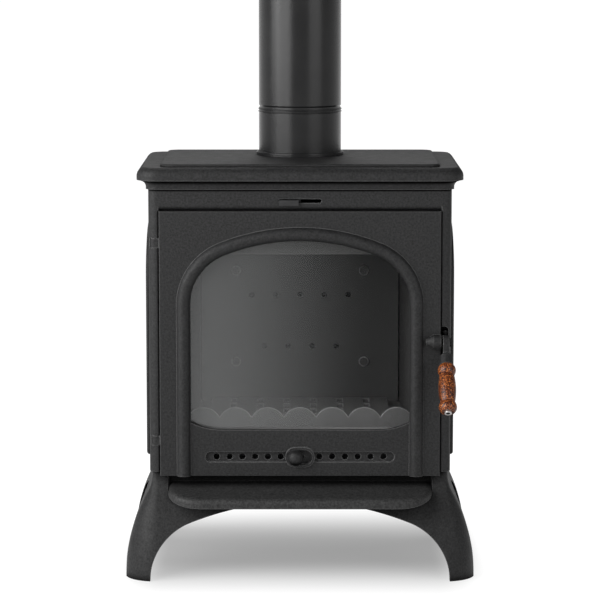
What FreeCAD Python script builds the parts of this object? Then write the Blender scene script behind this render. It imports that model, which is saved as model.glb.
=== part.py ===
import FreeCAD, Part
import math
import os
import Sketcher

# Cast iron room stove: a plate-built body on four flared legs, with an arched glass door,
# two air controls, a lift latch and a short length of flue pipe.
# X runs to the right, Y to the back and Z up. The origin lies on the floor under the middle
# of the overall box. Every length below is in millimetres and every angle in degrees.
SIZES = {
    # body shell
    "face_to_origin": 121.0,
    "body_width": 446.0,
    "base_height": 160.5,
    "base_thickness": 8.0,
    "wall_height": 420.0,
    "side_thickness": 10.0,
    "back_thickness": 8.0,
    "side_panel_rise": 7.0,
    "side_panel_margin": 30.0,
    "side_panel_low": 8.0,
    "side_panel_high": 58.0,
    "side_panel_arch": 80.0,
    "side_panel_corner": 60.0,
    "ledge_width": 9.0,
    "ledge_height": 10.0,
    "cut_overrun": 3.0,
    # front frame
    "frame_depth": 26.0,
    "column_width": 15.0,
    "column_round": 12.0,
    "column_edge_round": 2.5,
    "rebate_depth": 14.0,
    "fascia_height": 31.0,
    "fascia_edge_round": 8.0,
    "fire_opening_margin": 45.0,
    "fire_sill": 12.0,
    "fire_lintel": 26.0,
    "fire_corner": 12.0,
    # door plate, window and roll moulding
    "door_gap": 0.8,
    "door_drop": 6.0,
    "door_proud": 3.0,
    "door_thickness": 14.0,
    "door_edge_round": 1.2,
    "window_margin": 45.2,
    "lower_panel": 69.5,
    "window_top_margin": 43.7,
    "arch_rise": 96.0,
    "arch_corner": 80.0,
    "sill_corner_run": 44.6,
    "sill_corner_rise": 11.0,
    "roll_radius": 10.3,
    "roll_trim": 0.5,
    "roll_sunk": 2.0,
    # glass and seals
    "glass_lap": 9.0,
    "glass_thickness": 4.0,
    "glass_clearance": 0.5,
    "glass_play": 0.3,
    "gasket_thickness": 1.7,
    "gasket_inset": 1.0,
    "clip_width": 14.0,
    "clip_length": 16.0,
    "clip_thickness": 2.0,
    "clip_grip": 5.0,
    "clip_spread": 45.0,
    "clip_screw_radius": 2.0,
    "clip_screw_play": 0.3,
    "clip_head_radius": 3.5,
    "clip_head_height": 2.0,
    "clip_screw_depth": 5.0,
    "rope_width": 6.0,
    "rope_groove": 4.0,
    "rope_play": 0.3,
    "rope_corner": 14.0,
    "rope_side_play": 0.2,
    # hinge
    "hinge_offset": 6.5,
    "hinge_depth": 4.5,
    "hinge_top_drop": 47.2,
    "hinge_bottom_rise": 53.0,
    "knuckle_radius": 5.5,
    "knuckle_height": 14.0,
    "knuckle_end_gap": 0.3,
    "hinge_pocket_clear": 0.7,
    "hinge_pin_radius": 2.5,
    "hinge_pin_seat": 8.0,
    "running_clearance": 0.05,
    # primary air control
    "air_row_rise": 28.5,
    "air_hole_radius": 4.6,
    "air_hole_pitch": 19.0,
    "air_channel_length": 280.0,
    "air_channel_height": 15.0,
    "air_channel_depth": 5.0,
    "oval_length": 44.0,
    "oval_height": 30.0,
    "oval_rim": 4.0,
    "oval_rim_rise": 3.0,
    "slide_thickness": 2.4,
    "slide_height": 14.0,
    "slide_end_margin": 12.0,
    "slide_play": 0.3,
    "strap_width": 12.0,
    "strap_thickness": 2.0,
    "strap_foot": 2.8,
    "strap_spread": 114.0,
    "knob_radius": 11.5,
    "knob_shift": 6.5,
    "knob_standoff": 2.5,
    "knob_flat_radius": 6.0,
    "knob_stem_radius": 3.0,
    "stem_play": 0.75,
    "air_travel": 9.5,
    # latch
    "latch_rise": 201.5,
    "latch_pivot_out": 8.0,
    "boss_radius": 11.0,
    "boss_length": 22.0,
    "boss_taper": 11.0,
    "boss_over": 0.3,
    "boss_tip_radius": 4.5,
    "pivot_pin_radius": 4.0,
    "pivot_pin_seat": 15.0,
    "pivot_head_radius": 6.5,
    "pivot_head_height": 2.0,
    "lever_gap": 2.5,
    "lever_width": 9.5,
    "lever_end_play": 0.3,
    "eye_radius": 10.0,
    "arm_half_width": 6.0,
    "collar_start": 20.0,
    "collar_radius": 10.0,
    "hook_width": 6.5,
    "hook_reach": 25.0,
    "hook_thickness": 6.0,
    "hook_rise": 14.5,
    "hook_low": 6.0,
    "hook_arm_top": 5.0,
    "latch_pocket_depth": 22.0,
    "latch_pocket_wall": 4.0,
    "latch_pocket_up": 22.0,
    "latch_pocket_down": 28.0,
    "catch_front": 4.5,
    "catch_thickness": 6.0,
    "catch_low": 7.0,
    "catch_width": 8.0,
    # handle
    "grip_tilt": 38.2,
    "grip_start": 39.5,
    "grip_length": 78.0,
    "grip_bead_radius": 13.3,
    "grip_neck_radius": 10.6,
    "grip_barrel_radius": 12.8,
    "grip_end_radius": 9.5,
    "tang_radius": 3.0,
    "tang_play": 0.3,
    "end_nut_radius": 5.25,
    "end_nut_length": 2.0,
    # airwash control
    "airwash_drop": 17.0,
    "airwash_slot_height": 5.7,
    "airwash_wall": 10.0,
    "airwash_pocket_length": 190.0,
    "airwash_pocket_height": 23.0,
    "airwash_plate_length": 130.0,
    "airwash_plate_height": 14.0,
    "airwash_plate_thickness": 3.0,
    "airwash_travel": 33.0,
    "tab_length": 29.0,
    "tab_thickness": 3.0,
    "tab_out": 5.0,
    "tab_drop": 8.0,
    "tab_end_play": 0.5,
    "airwash_strap_foot": 3.0,
    "airwash_strap_spread": 85.0,
    # top plate
    "cove_height": 12.0,
    "cove_out": 11.0,
    "cove_lip": 1.5,
    "cove_band_out": 3.5,
    "cove_band_height": 3.0,
    "nose_height": 19.0,
    "nose_out": 17.0,
    "nose_low": 4.0,
    "nose_roll": 9.0,
    "moulding_seat": 8.0,
    "outline_round": 14.0,
    "top_thickness": 12.0,
    "panel_rise": 5.0,
    "panel_margin": 17.5,
    "panel_front": 3.0,
    "panel_back": 14.0,
    "panel_corner": 18.0,
    # flue
    "flue_axis_inset": 110.0,
    "flue_radius": 62.5,
    "flue_wall": 2.0,
    "stub_height": 72.0,
    "bead_rise": 0.9,
    "bead_height": 1.6,
    "bead_spacing": 3.8,
    "flue_pipe_length": 251.5,
    "flue_shoulder": 4.5,
    "flue_spigot_length": 30.0,
    "flue_play": 0.3,
    "flue_notch": 1.2,
    "collar_ring_width": 3.2,
    "collar_ring_height": 6.0,
    # legs
    "leg_inset": 3.0,
    "leg_set_back": 14.0,
    "leg_top_round": 8.0,
    "leg_plinth": 5.0,
    "leg_flare": 40.6,
    "leg_wall": 10.0,
    "leg_arch_height": 115.0,
    "leg_arch_corner": 91.0,
    "foot_width": 38.6,
    "leg_flange_thickness": 8.0,
    "leg_flange_length": 42.0,
    "leg_flange_start": 22.0,
    "leg_bolt_radius": 4.0,
    "leg_bolt_head_radius": 7.0,
    "leg_bolt_head_height": 6.0,
    "bolt_play": 0.3,
    # ash lip
    "lip_width": 391.0,
    "lip_reach": 50.0,
    "lip_corner": 50.0,
    "lip_front_low": 114.0,
    "lip_front_high": 127.5,
    "lip_back_high": 141.5,
    "lip_seat": 129.5,
    "lip_seat_front": 5.0,
    "lip_root_front": 24.0,
    "lip_root_depth": 16.0,
    "lip_edge_round": 8.0,
    "lip_notch_play": 1.0,
    "lip_bolt_radius": 3.0,
    "lip_bolt_head_radius": 6.0,
    "lip_bolt_head_height": 5.0,
    "lip_bolt_spread": 90.0,
    "lip_bolt_back": 12.0,
    # firebox
    "shelf_top": 221.5,
    "shelf_thickness": 8.0,
    "shelf_play": 0.3,
    "grate_side_gap": 20.0,
    "grate_back_gap": 23.0,
    "grate_thickness": 10.0,
    "grate_front": 52.0,
    "grate_seat": 12.0,
    "grate_slot_width": 10.0,
    "grate_edge": 10.0,
    "grate_bar": 14.0,
    "grate_slot_pitch": 41.0,
    "grate_corner": 10.0,
    "fireback_width": 308.0,
    "fireback_depth": 17.0,
    "fireback_wall": 10.0,
    "fireback_rim": 9.0,
    "fireback_hole_radius": 4.5,
    "fireback_hole_pitch": 37.6,
    "fireback_upper_drop": 87.0,
    "fireback_lower_row": 88.0,
    "fireback_bolt_spread": 100.0,
    "fireback_bolt_low": 64.0,
    "fireback_bolt_drop": 48.0,
    "fireback_bolt_radius": 4.0,
    "fireback_bolt_head_radius": 7.5,
    "fireback_bolt_head_height": 5.0,
    "fireback_boss_radius": 9.0,
    "liner_height": 256.0,
    "liner_front": 42.0,
    "liner_gap": 25.0,
    "liner_front_thickness": 20.0,
    "liner_back_thickness": 32.0,
    "baffle_thickness": 8.0,
    "baffle_front": 66.0,
    "baffle_lip": 16.0,
    "guard_front": 31.0,
    "guard_thickness": 8.0,
    "guard_pitch": 48.0,
    "guard_high": 30.5,
    "guard_low": 15.6,
    # ash pan and tie rods
    "pan_width": 300.0,
    "pan_depth": 215.0,
    "pan_height": 40.0,
    "pan_wall": 2.0,
    "pan_front": 40.0,
    "pan_back_gap": 27.0,
    "pan_corner": 3.0,
    "pan_handle_width": 90.0,
    "pan_handle_reach": 10.0,
    "pan_handle_radius": 2.5,
    "pan_handle_rise": 26.0,
    "rod_radius": 4.0,
    "rod_play": 0.3,
    "rod_inset": 20.0,
    "rod_front": 36.0,
    "rod_back": 16.0,
    "rod_nut_radius": 7.0,
    "rod_nut_height": 6.5,
    "rod_top_entry": 14.0,
    "rod_boss_radius": 9.0,
}

AIR_HOLE_COUNT = 14
GRATE_SLOTS_ACROSS = 6
GRATE_ROWS = 4
GUARD_SCALLOPS = 7
FIREBACK_UPPER_HOLES = 5
FIREBACK_LOWER_HOLES = 4
FLARE_TOP_SHARE = 0.2
BEAD_SHARE = 0.21
PANEL_ROUND_SHARE = 0.6
PLACE_TOLERANCE = 0.01

document = FreeCAD.newDocument("CastIronStove")
sheet = document.addObject("Spreadsheet::Sheet", "Sizes")


class Size:
    """A length together with the sheet expression that gives it."""

    def __init__(self, value, formula):
        self.value = float(value)
        self.formula = formula

    def __add__(self, other):
        other = as_size(other)
        return Size(self.value + other.value, "(%s + %s)" % (self.formula, other.formula))

    def __sub__(self, other):
        other = as_size(other)
        return Size(self.value - other.value, "(%s - %s)" % (self.formula, other.formula))

    def __mul__(self, other):
        other = as_size(other)
        return Size(self.value * other.value, "(%s * %s)" % (self.formula, other.formula))

    def __truediv__(self, other):
        other = as_size(other)
        return Size(self.value / other.value, "(%s / %s)" % (self.formula, other.formula))

    def __radd__(self, other):
        return as_size(other) + self

    def __rsub__(self, other):
        return as_size(other) - self

    def __rmul__(self, other):
        return as_size(other) * self

    def __neg__(self):
        return Size(-self.value, "(0 - %s)" % self.formula)


def as_size(number):
    """Take a plain number or a size and give a size."""
    if isinstance(number, Size):
        return number
    return Size(number, repr(float(number)))


class NamedSizes:
    """The driving sizes, one attribute for each aliased cell."""


def fill_sheet():
    """Write every driving size into its own aliased cell."""
    named = NamedSizes()
    for row, (alias, number) in enumerate(SIZES.items(), start=1):
        sheet.set("A%d" % row, alias)
        sheet.set("B%d" % row, str(number))
        sheet.setAlias("B%d" % row, alias)
        setattr(named, alias, Size(number, "Sizes." + alias))
    document.recompute()
    return named


d = fill_sheet()

# Places that several pieces share, worked out from the driving sizes.
half_width = d.body_width / 2
body_depth = d.pan_front + d.pan_depth + d.pan_back_gap + d.back_thickness
wall_base = d.base_height + d.base_thickness
wall_top = d.base_height + d.wall_height
side_inner = half_width - d.side_thickness
rebate_half = half_width - d.column_width
rebate_top = wall_top - d.fascia_height
door_half = rebate_half - d.door_gap
door_top = rebate_top - d.door_gap
door_bottom = d.base_height - d.door_drop
fire_half = half_width - d.fire_opening_margin
fire_bottom = d.base_height + d.fire_sill
fire_top = rebate_top - d.fire_lintel
window_half = door_half - d.window_margin
window_bottom = door_bottom + d.lower_panel
window_top = door_top - d.window_top_margin
air_row = door_bottom + d.air_row_rise
latch_height = door_bottom + d.latch_rise
shelf_bottom = d.shelf_top - d.shelf_thickness
liner_top = d.shelf_top + d.liner_height
liner_outer = side_inner - d.liner_gap
liner_back_inner = liner_outer - d.liner_back_thickness
grate_half = liner_back_inner - d.grate_side_gap
cornice_top = wall_top + d.cove_height + d.cove_lip
slab_top = cornice_top + d.nose_height
panel_top = slab_top + d.panel_rise
stub_top = panel_top + d.stub_height


def behind(depth):
    """Y place a given depth behind the face of the front frame."""
    return depth - d.face_to_origin


face = behind(0)
door_front = behind(-d.door_proud)
door_back = behind(d.door_thickness - d.door_proud)
frame_back = behind(d.frame_depth)
back_inner = behind(body_depth - d.back_thickness)
back_outer = behind(body_depth)
fireback_front = back_inner - d.fireback_depth
grate_front = behind(d.grate_front)
grate_back = fireback_front - d.grate_back_gap
hinge_x = -(door_half + d.hinge_offset)
hinge_y = behind(d.hinge_depth)
hinge_heights = [door_bottom + d.hinge_bottom_rise, door_top - d.hinge_top_drop]
flue_y = back_outer - d.flue_axis_inset
latch_y = behind(-d.latch_pivot_out)
boss_end = door_half + d.boss_over
lever_left = boss_end + d.lever_gap
airwash_row = wall_top - d.airwash_drop
airwash_slot_length = d.tab_length + d.airwash_travel + 2 * d.tab_end_play
grip_axis_x = lever_left + d.lever_width / 2
rod_places = [
    (side * (half_width - d.rod_inset), place)
    for side in (-1, 1)
    for place in (behind(d.rod_front), back_inner - d.rod_back)
]

PLANE_NORMALS = {"XY": 1, "XZ": -1, "YZ": 1}


def bind(target, place, size):
    """Bind one property of an object to the sheet expression of a size."""
    size = as_size(size)
    target.setExpression(place, size.formula)


def new_body(name):
    """Start a sub-part that carries its own name."""
    body = document.addObject("PartDesign::Body", name)
    body.Label = name
    return body


def new_sketch(body, plane, off=0, across=0, up=0, tilt=None):
    """Put a sketch on a main plane of a body, moved to its place."""
    sketch = body.newObject("Sketcher::SketchObject", body.Name + "_sketch")
    support = [item for item in body.Origin.OriginFeatures if item.Role == plane + "_Plane"][0]
    sketch.AttachmentSupport = (support, "")
    sketch.MapMode = "FlatFace"
    if tilt is not None:
        turn = FreeCAD.Rotation(FreeCAD.Vector(0, 0, 1), as_size(tilt).value)
        sketch.AttachmentOffset = FreeCAD.Placement(FreeCAD.Vector(), turn)
        bind(sketch, "AttachmentOffset.Rotation.Angle", tilt)
    bind(sketch, "AttachmentOffset.Base.x", across)
    bind(sketch, "AttachmentOffset.Base.y", up)
    bind(sketch, "AttachmentOffset.Base.z", as_size(off) * PLANE_NORMALS[plane])
    return sketch


def constrain(sketch, kind, place, size):
    """Add one dimension to a sketch and bind it to its size."""
    size = as_size(size)
    index = sketch.addConstraint(Sketcher.Constraint(kind, *place, size.value))
    bind(sketch, "Constraints[%d]" % index, size)


def arc_between(start, end, radius, turn):
    """Arc from one point to another, bulging by its turn: 1 anticlockwise, -1 clockwise."""
    chord_x = end[0] - start[0]
    chord_y = end[1] - start[1]
    chord = math.hypot(chord_x, chord_y)
    reach = math.sqrt(max(radius ** 2 - chord ** 2 / 4, 0.0)) / chord
    centre_x = (start[0] + end[0]) / 2 - chord_y * reach * turn
    centre_y = (start[1] + end[1]) / 2 + chord_x * reach * turn
    first = math.atan2(start[1] - centre_y, start[0] - centre_x)
    last = math.atan2(end[1] - centre_y, end[0] - centre_x)
    circle = Part.Circle(FreeCAD.Vector(centre_x, centre_y, 0), FreeCAD.Vector(0, 0, 1), radius)
    if turn > 0:
        return Part.ArcOfCircle(circle, first, last)
    return Part.ArcOfCircle(circle, last, first)


def draw(sketch, corners, closed=True):
    """Draw an outline through corners (x, y), or (x, y, radius, turn) where an arc starts."""
    places = [(as_size(corner[0]), as_size(corner[1])) for corner in corners]
    count = len(corners)
    edges = []
    for index in range(count if closed else count - 1):
        start = places[index]
        end = places[(index + 1) % count]
        start_xy = (start[0].value, start[1].value)
        end_xy = (end[0].value, end[1].value)
        if len(corners[index]) == 4:
            radius = as_size(corners[index][2])
            turn = corners[index][3]
            number = sketch.addGeometry(arc_between(start_xy, end_xy, radius.value, turn), False)
            edges.append((number, 1, 2, radius) if turn > 0 else (number, 2, 1, radius))
        else:
            line = Part.LineSegment(FreeCAD.Vector(*start_xy, 0), FreeCAD.Vector(*end_xy, 0))
            edges.append((sketch.addGeometry(line, False), 1, 2, None))
    for index, (number, first, last, radius) in enumerate(edges):
        if closed or index + 1 < len(edges):
            following = edges[(index + 1) % len(edges)]
            sketch.addConstraint(
                Sketcher.Constraint("Coincident", number, last, following[0], following[1])
            )
        constrain(sketch, "DistanceX", (-1, 1, number, first), places[index][0])
        constrain(sketch, "DistanceY", (-1, 1, number, first), places[index][1])
        if radius is not None:
            constrain(sketch, "Radius", (number,), radius)
    if not closed:
        number, first, last, radius = edges[-1]
        constrain(sketch, "DistanceX", (-1, 1, number, last), places[-1][0])
        constrain(sketch, "DistanceY", (-1, 1, number, last), places[-1][1])


def draw_box(sketch, left, right, low, high, corner=None):
    """Draw a rectangle, with round corners where a corner radius is given."""
    if corner is None:
        draw(sketch, [(left, low), (right, low), (right, high), (left, high)])
        return
    draw(sketch, [
        (left + corner, low), (right - corner, low, corner, 1),
        (right, low + corner), (right, high - corner, corner, 1),
        (right - corner, high), (left + corner, high, corner, 1),
        (left, high - corner), (left, low + corner, corner, 1),
    ])


def draw_slot(sketch, left, right, middle, radius):
    """Draw a slot with round ends, given its outer ends, its middle line and its end radius."""
    draw(sketch, [
        (left + radius, middle - radius), (right - radius, middle - radius, radius, 1),
        (right, middle, radius, 1), (right - radius, middle + radius),
        (left + radius, middle + radius, radius, 1), (left, middle, radius, 1),
    ])


def draw_circle(sketch, across, up, radius):
    """Draw a circle at its place."""
    across = as_size(across)
    up = as_size(up)
    radius = as_size(radius)
    centre = FreeCAD.Vector(across.value, up.value, 0)
    number = sketch.addGeometry(Part.Circle(centre, FreeCAD.Vector(0, 0, 1), radius.value), False)
    constrain(sketch, "DistanceX", (-1, 1, number, 3), across)
    constrain(sketch, "DistanceY", (-1, 1, number, 3), up)
    constrain(sketch, "Radius", (number,), radius)


def plane_of(sketch):
    """Name of the main plane that a sketch lies on."""
    return sketch.AttachmentSupport[0][0].Role[:2]


def pad(body, sketch, length, toward=1):
    """Raise a sketch along its axis, toward the plus or the minus end."""
    feature = body.newObject("PartDesign::Pad", body.Name + "_pad")
    feature.Profile = sketch
    bind(feature, "Length", length)
    feature.Reversed = toward != PLANE_NORMALS[plane_of(sketch)]
    return feature


def pocket(body, sketch, depth=None, toward=1):
    """Cut a sketch to a depth along its axis, or right through where no depth is given."""
    feature = body.newObject("PartDesign::Pocket", body.Name + "_pocket")
    feature.Profile = sketch
    if depth is None:
        feature.Type = "ThroughAll"
        feature.SideType = "Symmetric"
        return feature
    bind(feature, "Length", depth)
    feature.Reversed = toward == PLANE_NORMALS[plane_of(sketch)]
    return feature


def revolve(body, sketch, axis="V_Axis", angle=360.0, backward=False):
    """Turn a sketch about one of its own axes."""
    feature = body.newObject("PartDesign::Revolution", body.Name + "_turned")
    feature.Profile = sketch
    feature.ReferenceAxis = (sketch, [axis])
    feature.Angle = angle
    feature.Reversed = backward
    return feature


def sweep(body, profile, path):
    """Carry a profile along a path."""
    feature = body.newObject("PartDesign::AdditivePipe", body.Name + "_sweep")
    feature.Profile = profile
    feature.Spine = path
    return feature


def round_edges(body, radius, wanted):
    """Round the edges of a body whose middle points are wanted."""
    document.recompute()
    base = body.Tip
    names = [
        "Edge%d" % number
        for number, edge in enumerate(base.Shape.Edges, start=1)
        if wanted(edge)
    ]
    feature = body.newObject("PartDesign::Fillet", body.Name + "_round")
    feature.Base = (base, names)
    bind(feature, "Radius", radius)
    return feature


def near(value, size):
    """True where a measured place agrees with a size."""
    return abs(value - as_size(size).value) < PLACE_TOLERANCE


def span(edge):
    """Bounding box of an edge."""
    return edge.BoundBox


def arch_corners(half, spring, rise, corner, first_turn=-1):
    """Points of a three-centred arch from its left spring to its right spring."""
    crown = (half * half + rise * rise - 2 * half * corner) / (2 * (rise - corner))
    meet_x = (half - corner) * crown / (crown - corner)
    meet_y = spring + corner * (crown - rise) / (crown - corner)
    return [
        (-half, spring, corner, first_turn),
        (-meet_x, meet_y, crown, first_turn),
        (meet_x, meet_y, corner, first_turn),
        (half, spring),
    ]


def window_outline(grow):
    """Outline of the window opening, grown evenly to its lap, with its lifted lower corners."""
    half = window_half + grow
    low = window_bottom - grow
    spring = window_top - d.arch_rise
    corner_radius = (d.sill_corner_run * d.sill_corner_run
                     + d.sill_corner_rise * d.sill_corner_rise) / (2 * d.sill_corner_rise)
    arch = arch_corners(half, spring, d.arch_rise + grow, d.arch_corner + grow)
    return arch + [
        (half, low + d.sill_corner_rise, corner_radius, -1),
        (half - d.sill_corner_run, low),
        (-(half - d.sill_corner_run), low, corner_radius, -1),
        (-half, low + d.sill_corner_rise),
    ]


# Body shell

def make_base_plate():
    """Flat bottom plate that carries the walls."""
    body = new_body("base_plate")
    outline = new_sketch(body, "XY", off=d.base_height)
    draw_box(outline, -half_width, half_width, frame_back, back_outer)
    pad(body, outline, d.base_thickness)
    holes = new_sketch(body, "XY", off=d.base_height)
    for across, place in rod_places:
        draw_circle(holes, across, place, d.rod_radius + d.rod_play)
    for across, place in leg_bolt_places():
        draw_circle(holes, across, place, d.leg_bolt_radius + d.bolt_play)
    for across, place in lip_bolt_places():
        draw_circle(holes, across, place, d.lip_bolt_radius + d.bolt_play)
    pocket(body, holes)


def make_side_plate(name, side):
    """Side wall with a raised arched field outside and a ledge inside for the grate shelf."""
    body = new_body(name)
    outline = new_sketch(body, "YZ", off=side * side_inner)
    draw_box(outline, frame_back, back_inner, wall_base, wall_top)
    pad(body, outline, d.side_thickness, toward=side)
    field = new_sketch(body, "YZ", off=side * half_width, across=(frame_back + back_inner) / 2)
    half = (back_inner - frame_back) / 2 - d.side_panel_margin
    low = wall_base + d.side_panel_low
    spring = wall_top - d.side_panel_high - d.side_panel_arch
    draw(field, arch_corners(half, spring, d.side_panel_arch, d.side_panel_corner)
         + [(half, low), (-half, low)])
    pad(body, field, d.side_panel_rise, toward=side)
    ledge = new_sketch(body, "YZ", off=side * side_inner)
    draw_box(ledge, frame_back, back_inner, shelf_bottom - d.ledge_height, shelf_bottom)
    pad(body, ledge, d.ledge_width, toward=-side)
    rod_ways = new_sketch(body, "XY", off=shelf_bottom)
    for across, place in rod_places:
        if across.value * side > 0:
            draw_circle(rod_ways, across, place, d.rod_radius + d.rod_play)
    pocket(body, rod_ways, d.ledge_height, toward=-1)
    edge = side * (half_width + d.side_panel_rise)
    round_edges(body, d.side_panel_rise * PANEL_ROUND_SHARE,
                lambda line: near(span(line).XMin, edge) and near(span(line).XMax, edge))


def make_back_plate():
    """Rear wall with the threaded holes of the fireback bolts."""
    body = new_body("back_plate")
    outline = new_sketch(body, "XZ", off=back_inner)
    draw_box(outline, -half_width, half_width, wall_base, wall_top)
    pad(body, outline, d.back_thickness)
    holes = new_sketch(body, "XZ", off=back_inner)
    for across, height in fireback_bolt_places():
        draw_circle(holes, across, height, d.fireback_bolt_radius + d.bolt_play)
    pocket(body, holes)


def make_front_frame():
    """Front casting: two rounded columns and a fascia around the rebate of the door."""
    body = new_body("front_frame")
    plan = new_sketch(body, "XY", off=d.base_height)
    corner = d.column_round
    draw(plan, [
        (-half_width + corner, face), (half_width - corner, face, corner, 1),
        (half_width, face + corner), (half_width, frame_back),
        (-half_width, frame_back), (-half_width, face + corner, corner, 1),
    ])
    pad(body, plan, d.wall_height)
    rebate = new_sketch(body, "XZ", off=face)
    draw_box(rebate, -rebate_half, rebate_half, d.base_height - d.cut_overrun, rebate_top)
    pocket(body, rebate, d.rebate_depth)
    mouth = new_sketch(body, "XZ", off=face)
    draw_box(mouth, -fire_half, fire_half, fire_bottom, fire_top, d.fire_corner)
    pocket(body, mouth)
    round_edges(body, d.column_edge_round,
                lambda line: near(abs(span(line).XMin), rebate_half)
                and near(span(line).XLength, 0) and near(span(line).YMax, face))
    fascia_edge = new_sketch(body, "YZ", off=-rebate_half)
    turn = d.fascia_edge_round
    over = d.cut_overrun
    draw(fascia_edge, [
        (face, rebate_top + turn, turn, 1), (face + turn, rebate_top), (face + turn, rebate_top - over),
        (face - over, rebate_top - over), (face - over, rebate_top + turn),
    ])
    pocket(body, fascia_edge, 2 * rebate_half)
    hinge_pockets = new_sketch(body, "XZ", off=face)
    reach = d.knuckle_radius + d.hinge_pocket_clear
    for height in hinge_heights:
        half = d.knuckle_height / 2 + d.knuckle_end_gap
        draw_box(hinge_pockets, hinge_x - reach, -rebate_half + d.cut_overrun,
                 height - half, height + half)
    pocket(body, hinge_pockets, d.hinge_depth + reach)
    for height in hinge_heights:
        length = d.knuckle_height + 2 * d.hinge_pin_seat
        bore = new_sketch(body, "XY", off=height - length / 2)
        draw_circle(bore, hinge_x, hinge_y, d.hinge_pin_radius)
        pocket(body, bore, length)
    catch_pocket = new_sketch(body, "XZ", off=face)
    left = rebate_half - d.column_edge_round
    right = half_width - d.latch_pocket_wall
    round_top = (right - left) / 2
    high = latch_height + d.latch_pocket_up
    draw(catch_pocket, [
        (left, latch_height - d.latch_pocket_down), (right, latch_height - d.latch_pocket_down),
        (right, high - round_top, round_top, 1), (right - round_top, high, round_top, 1),
        (left, high - round_top),
    ])
    pocket(body, catch_pocket, d.latch_pocket_depth)
    airwash_pocket = new_sketch(body, "XZ", off=frame_back)
    draw_box(airwash_pocket, -d.airwash_pocket_length / 2, d.airwash_pocket_length / 2,
             airwash_row - d.airwash_pocket_height / 2, airwash_row + d.airwash_pocket_height / 2)
    pocket(body, airwash_pocket, d.frame_depth - d.airwash_wall, toward=-1)
    slot = new_sketch(body, "XZ", off=face)
    draw_slot(slot, -airwash_slot_length / 2, airwash_slot_length / 2,
              airwash_row, d.airwash_slot_height / 2)
    pocket(body, slot, d.airwash_wall + d.cut_overrun)


def make_top_plate():
    """Top casting: moulded rim, slab, raised field and flue hole."""
    body = new_body("top_plate")
    path = new_sketch(body, "XY", off=wall_top)
    corner = d.outline_round
    draw(path, [
        (0, face), (half_width - corner, face, corner, 1),
        (half_width, face + corner), (half_width, back_outer - corner, corner, 1),
        (half_width - corner, back_outer), (-half_width + corner, back_outer, corner, 1),
        (-half_width, back_outer - corner), (-half_width, face + corner, corner, 1),
        (-half_width + corner, face),
    ])
    profile = new_sketch(body, "YZ")
    band_front = face - d.cove_band_out
    band_top = wall_top + d.cove_band_height
    draw(profile, [
        (face + d.moulding_seat, wall_top), (band_front, wall_top),
        (band_front, band_top, d.cove_height - d.cove_band_height, 1),
        (face - d.cove_out, wall_top + d.cove_height), (face - d.cove_out, cornice_top),
        (face - d.nose_out, cornice_top), (face - d.nose_out, cornice_top + d.nose_low,
                                          d.nose_height - d.nose_low, -1),
        (face - d.nose_out + d.nose_roll, slab_top), (face + d.moulding_seat, slab_top),
    ])
    sweep(body, profile, path)
    slab = new_sketch(body, "XY", off=slab_top)
    seat = d.moulding_seat / 2
    draw_box(slab, -half_width + seat, half_width - seat, face + seat, back_outer - seat, corner)
    pad(body, slab, d.top_thickness, toward=-1)
    field = new_sketch(body, "XY", off=slab_top)
    draw_box(field, -half_width + d.panel_margin, half_width - d.panel_margin,
             behind(-d.panel_front), behind(body_depth - d.panel_back), d.panel_corner)
    pad(body, field, d.panel_rise)
    for across, place in rod_places:
        boss = new_sketch(body, "XY", off=slab_top)
        draw_circle(boss, across, place, d.rod_boss_radius)
        pad(body, boss, d.nose_height, toward=-1)
    bores = new_sketch(body, "XY", off=cornice_top)
    for across, place in rod_places:
        draw_circle(bores, across, place, d.rod_radius + d.rod_play)
    pocket(body, bores, d.rod_top_entry)
    flue_hole = new_sketch(body, "XY", off=panel_top)
    draw_circle(flue_hole, 0, flue_y, d.flue_radius - d.flue_wall)
    pocket(body, flue_hole)
    round_edges(body, d.panel_rise * PANEL_ROUND_SHARE,
                lambda line: near(span(line).ZMin, panel_top) and near(span(line).ZMax, panel_top)
                and not near(line.CenterOfMass.y, flue_y))


# Flue

def make_flue_collar():
    """Low ring round the foot of the flue."""
    body = new_body("flue_collar")
    ring = new_sketch(body, "XY", off=panel_top)
    inner = d.flue_radius + d.flue_play
    draw_circle(ring, 0, flue_y, inner + d.collar_ring_width)
    draw_circle(ring, 0, flue_y, inner)
    pad(body, ring, d.collar_ring_height)
    outer = inner + d.collar_ring_width
    round_edges(body, d.collar_ring_width / 2,
                lambda line: near(span(line).ZMin, panel_top + d.collar_ring_height)
                and near(span(line).XMax, outer))


def make_flue_stub():
    """Short flue tube on the top plate, with two beads under its mouth."""
    body = new_body("flue_stub")
    half = new_sketch(body, "YZ", across=flue_y)
    outer = d.flue_radius
    inner = d.flue_radius - d.flue_wall
    bead = outer + d.bead_rise
    step = d.bead_height
    first = stub_top - d.bead_height
    second = first - d.bead_spacing
    draw(half, [
        (inner, panel_top), (outer, panel_top),
        (outer, second - step), (bead, second - step / 2), (bead, second), (outer, second + step / 2),
        (outer, first - step), (bead, first - step / 2), (bead, first), (outer, first + step / 2),
        (outer, stub_top), (inner, stub_top),
    ])
    revolve(body, half)


def make_flue_pipe():
    """Upper flue pipe, its reduced spigot standing in the stub."""
    body = new_body("flue_pipe")
    half = new_sketch(body, "YZ", across=flue_y)
    outer = d.flue_radius
    inner = d.flue_radius - d.flue_wall
    spigot = inner - d.flue_play
    shoulder = stub_top + d.flue_shoulder
    draw(half, [
        (spigot - d.flue_wall, stub_top - d.flue_spigot_length),
        (spigot, stub_top - d.flue_spigot_length),
        (spigot, stub_top), (outer - d.flue_notch, stub_top),
        (outer - d.flue_notch, stub_top + d.flue_shoulder / 2), (outer, shoulder),
        (outer, stub_top + d.flue_pipe_length), (inner, stub_top + d.flue_pipe_length),
        (inner, shoulder), (spigot - d.flue_wall, stub_top),
    ])
    revolve(body, half)


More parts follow.
